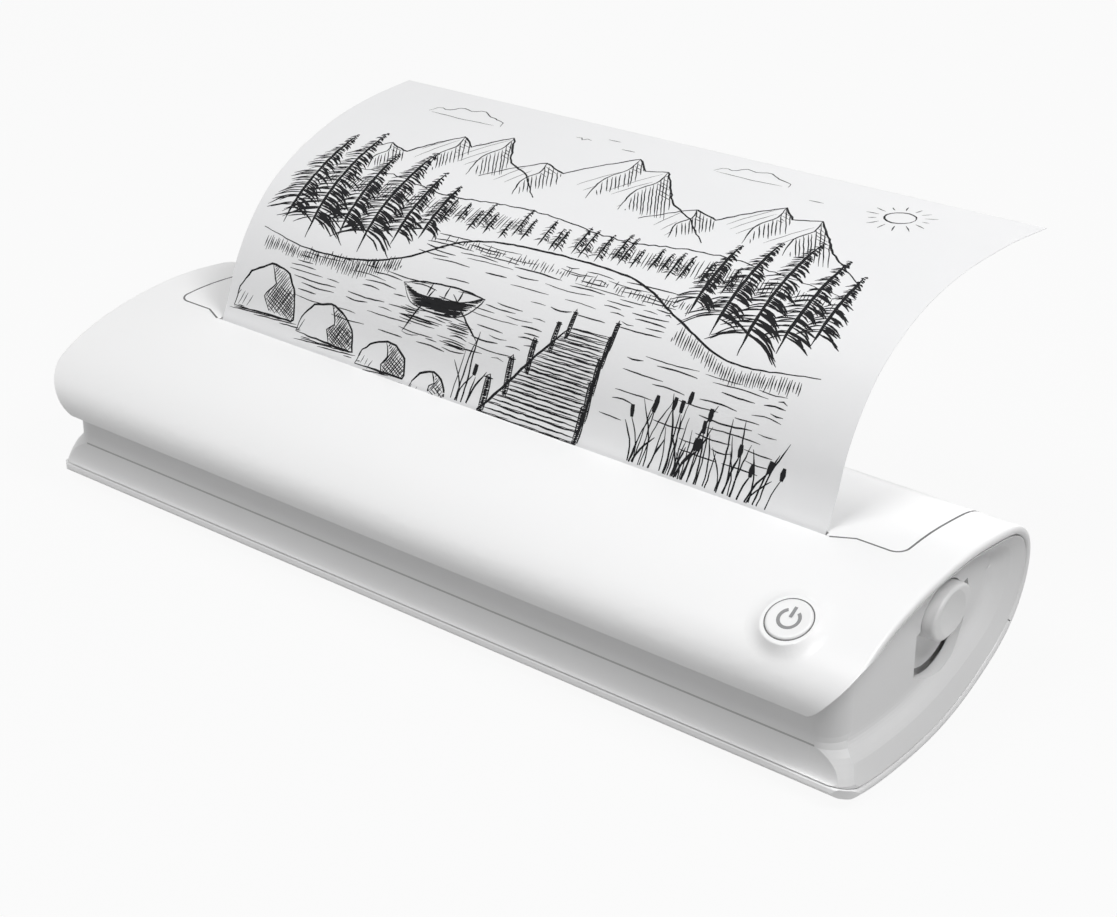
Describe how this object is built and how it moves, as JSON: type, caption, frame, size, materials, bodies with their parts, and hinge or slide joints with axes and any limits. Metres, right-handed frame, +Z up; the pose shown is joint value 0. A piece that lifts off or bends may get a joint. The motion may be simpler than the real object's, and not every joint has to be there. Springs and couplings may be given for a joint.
{
  "type": "portable thermal printer",
  "caption": "Portable A4 thermal printer with a hinged cover on a scroll-shaped white housing, a printed sheet leaving its slot, a release grip in the end recess and a power button.",
  "frame": {"origin": "centre of the underside of the rubber base pad, directly under the paper slot", "axes": "+X along the printer towards the end with the power button and release grip, -Y to the front, +Z up"},
  "size_m": [0.2772, 0.1445, 0.0989],
  "materials": {
    "shell_white": "satin white ABS",
    "cap_white": "satin white ABS",
    "lever_grey": "satin light grey",
    "button_white": "satin white",
    "inner_grey": "fine matt grey moulding",
    "dark_frame": "black glass-filled nylon",
    "bush_nylon": "natural nylon",
    "pad_rubber": "fine matt rubber",
    "platen_rubber": "ground silicone rubber",
    "steel": "drawn steel",
    "zinc_sheet": "zinc plated sheet",
    "heat_sink": "extruded, plain",
    "ceramic": "glazed ceramic strip",
    "gear_plastic": "acetal",
    "paper": "smooth thermal paper",
    "core_card": "pressed card tube",
    "cell_wrap": "shrink-wrapped cell",
    "board_green": "solder mask",
    "chip_black": "moulded packages",
    "ribbon": "polyimide ribbon"
  },
  "bodies": {
    "base": {"upper_shell": "shell_white", "lower_shell": "shell_white", "front_panel": "cap_white", "end_cap_left": "cap_white", "end_cap_right": "cap_white", "base_pad": "pad_rubber", "case_screws": "steel", "feed_motor": "steel", "gear_studs": "steel", "side_plate_left": "zinc_sheet", "side_plate_right": "zinc_sheet", "mechanism_beam": "zinc_sheet", "head_ribbon": "ribbon", "paper_web": "paper", "paper_tray": "dark_frame", "paper_sensor": "chip_black", "battery_cells": "cell_wrap", "battery_cradle": "dark_frame", "main_board": "board_green", "board_parts": "chip_black", "socket_board": "board_green", "charging_socket": "steel", "button_switch": "chip_black", "button_board": "board_green", "lever_spring": "steel"},
    "cover": {"cover_skin": "shell_white", "cover_liner": "inner_grey", "platen_arm_left": "inner_grey", "platen_arm_right": "inner_grey", "platen_bush_left": "bush_nylon", "platen_bush_right": "bush_nylon", "tear_bar": "steel", "hinge_pin_left": "steel", "hinge_pin_right": "steel", "printed_sheet": "paper"},
    "platen": {"platen_shaft": "steel", "platen_rubber": "platen_rubber", "platen_gear": "gear_plastic"},
    "idler": {"idler_gear": "gear_plastic"},
    "reduction": {"reduction_gear": "gear_plastic"},
    "motor_rotor": {"motor_pinion": "steel"},
    "print_head": {"head_strip": "ceramic", "head_sink": "heat_sink", "head_pivot": "steel", "head_spring": "steel"},
    "release": {"release_lever": "lever_grey", "latch_shaft": "steel", "latch_hook_left": "zinc_sheet", "latch_hook_right": "zinc_sheet"},
    "paper_supply": {"paper_roll": "paper", "roll_core": "core_card"},
    "power_key": {"power_button": "button_white"}
  },
  "joints": [
    {"name": "cover_hinge", "type": "hinge", "parent": "base", "child": "cover", "pos_m": [0, 0.03608, 0.02682], "axis": [-1, 0, 0], "range_deg": [0, 60]},
    {"name": "platen_spin", "type": "hinge", "parent": "cover", "child": "platen", "pos_m": [0, 0.00195, 0.0375], "axis": [1, 0, 0], "continuous": true},
    {"name": "idler_spin", "type": "hinge", "parent": "base", "child": "idler", "pos_m": [-0.1147, -0.00467, 0.02872], "axis": [1, 0, 0], "continuous": true},
    {"name": "reduction_spin", "type": "hinge", "parent": "base", "child": "reduction", "pos_m": [-0.1164, -0.0096, 0.01944], "axis": [1, 0, 0], "continuous": true},
    {"name": "motor_spin", "type": "hinge", "parent": "base", "child": "motor_rotor", "pos_m": [-0.11, -0.0246, 0.01944], "axis": [1, 0, 0], "continuous": true},
    {"name": "head_tilt", "type": "hinge", "parent": "base", "child": "print_head", "pos_m": [0, -0.00659, 0.03062], "axis": [1, 0, 0], "range_deg": [0, 2], "stiffness_Nm_per_rad": 2},
    {"name": "release_turn", "type": "hinge", "parent": "base", "child": "release", "pos_m": [0.1, 0.0133, 0.0339], "axis": [1, 0, 0], "range_deg": [0, 25], "stiffness_Nm_per_rad": 0.05},
    {"name": "roll_spin", "type": "hinge", "parent": "base", "child": "paper_supply", "pos_m": [0, 0.0135, 0.0205], "axis": [1, 0, 0], "continuous": true},
    {"name": "power_press", "type": "slide", "parent": "base", "child": "power_key", "axis": [0, 0.4451, -0.8955], "range_m": [0, 0.0006], "stiffness_N_per_m": 1500}
  ],
  "couplings": [
    {"joint": "idler_spin", "follows": "platen_spin", "ratio": -0.57143},
    {"joint": "reduction_spin", "follows": "platen_spin", "ratio": 1.1429},
    {"joint": "motor_spin", "follows": "platen_spin", "ratio": -4.5714}
  ]
}
